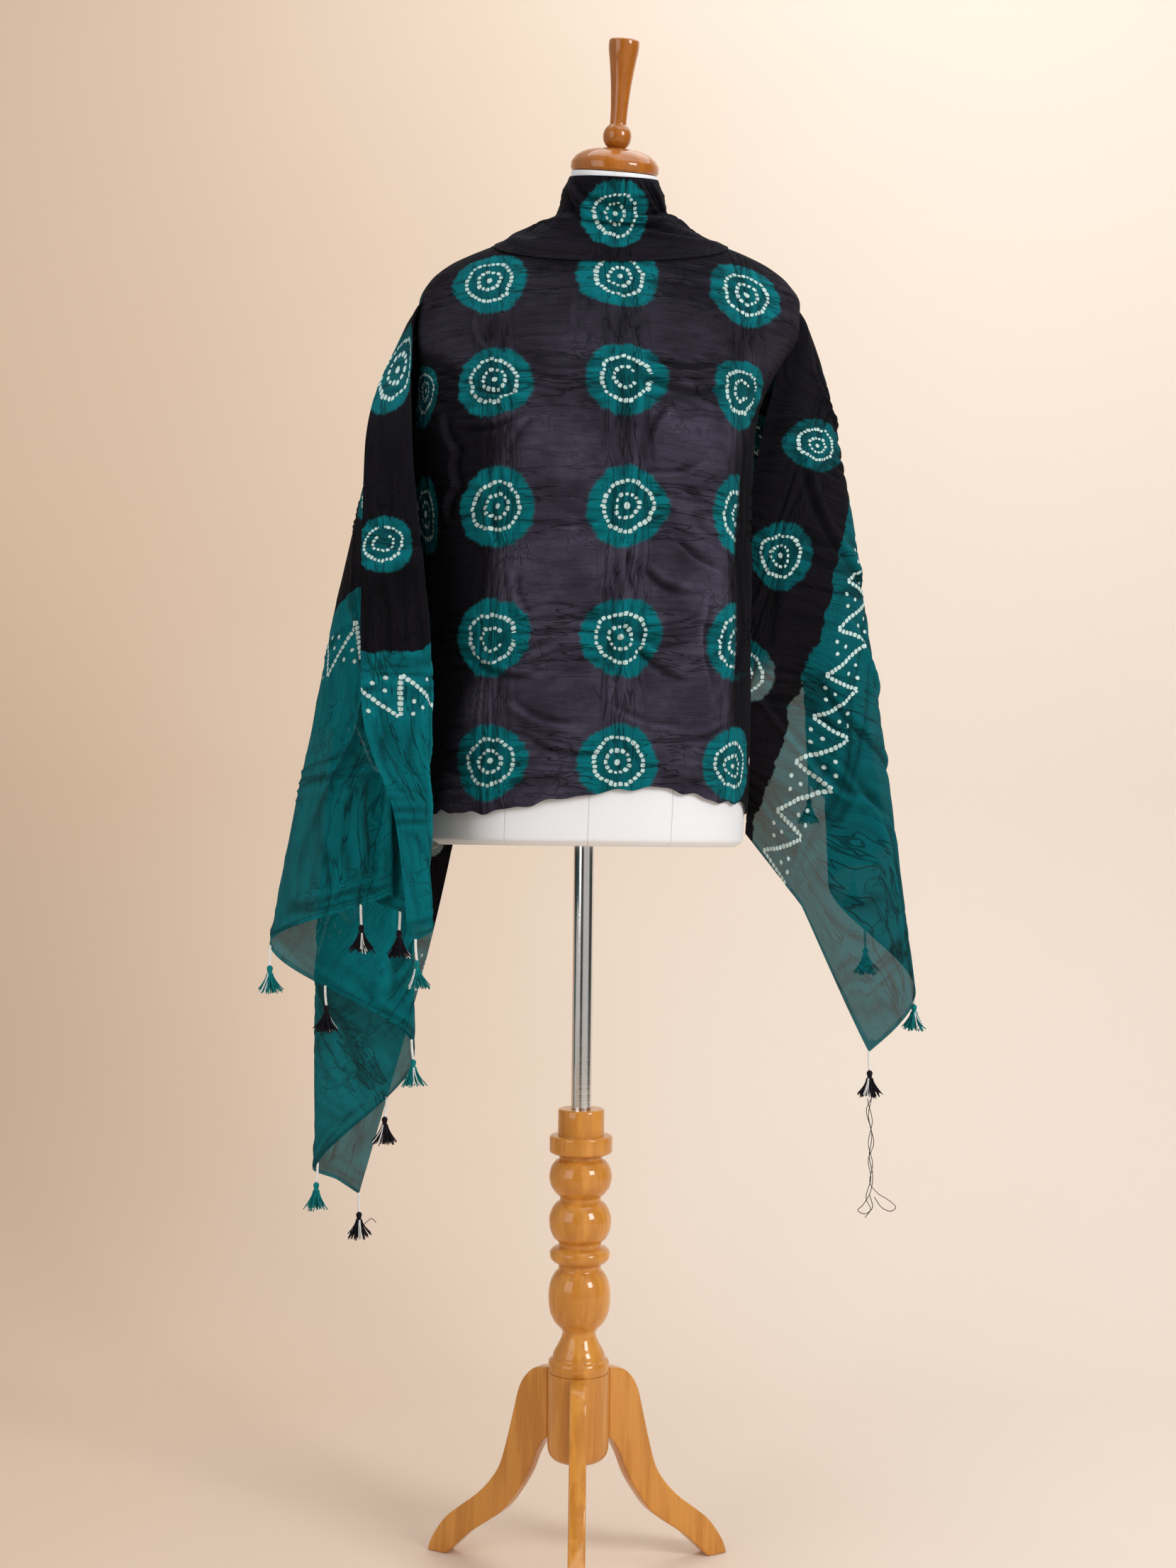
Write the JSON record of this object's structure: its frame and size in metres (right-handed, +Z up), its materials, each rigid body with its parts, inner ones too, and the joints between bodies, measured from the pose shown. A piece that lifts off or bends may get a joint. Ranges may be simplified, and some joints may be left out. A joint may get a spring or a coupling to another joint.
{
  "type": "dupatta stole on a dress form with a turned wooden stand",
  "caption": "Sheer tie-dyed dupatta stole with tasselled ends, draped over a limbless dress form on a turned wooden tripod stand.",
  "frame": {"origin": "on the floor, under the middle of the part's box", "axes": "+Z up, -Y to the front, +X to the viewer's right"},
  "size_m": [0.7081, 0.3687, 1.6465],
  "materials": {
    "form_cover": "smooth white jersey stretched over the form",
    "wood": "honey-coloured, clear gloss lacquer",
    "pole_metal": "polished chrome tube",
    "cloth_dark": "sheer crepe, dyed almost black with tied-off medallions",
    "cloth_teal": "sheer crepe, dyed teal with tied-off dots",
    "thread_dark": "loose dark thread on a white cord",
    "thread_teal": "loose teal thread on a white cord"
  },
  "bodies": {
    "root": {"dress_form": "form_cover", "neck_cap": "wood", "finial": "wood", "column": "wood", "hub": "wood", "leg_front": "wood", "leg_left": "wood", "leg_right": "wood", "pole": "pole_metal", "front_stretch": "cloth_dark", "neck_wrap": "cloth_dark", "left_fall": "cloth_teal", "right_fall": "cloth_teal", "tassel_left_1": "thread_dark", "tassel_left_2": "thread_teal", "tassel_left_3": "thread_dark", "tassel_left_4": "thread_teal", "tassel_left_5": "thread_dark", "tassel_left_6": "thread_teal", "tassel_left_7": "thread_dark", "tassel_left_8": "thread_dark", "tassel_left_9": "thread_teal", "tassel_right_1": "thread_dark", "tassel_right_2": "thread_teal", "tassel_right_3": "thread_teal", "tassel_right_4": "thread_dark", "tassel_right_5": "thread_teal", "tassel_right_6": "thread_dark", "tassel_right_7": "thread_teal", "tassel_right_8": "thread_dark", "tassel_right_9": "thread_teal"}
  },
  "joints": []
}
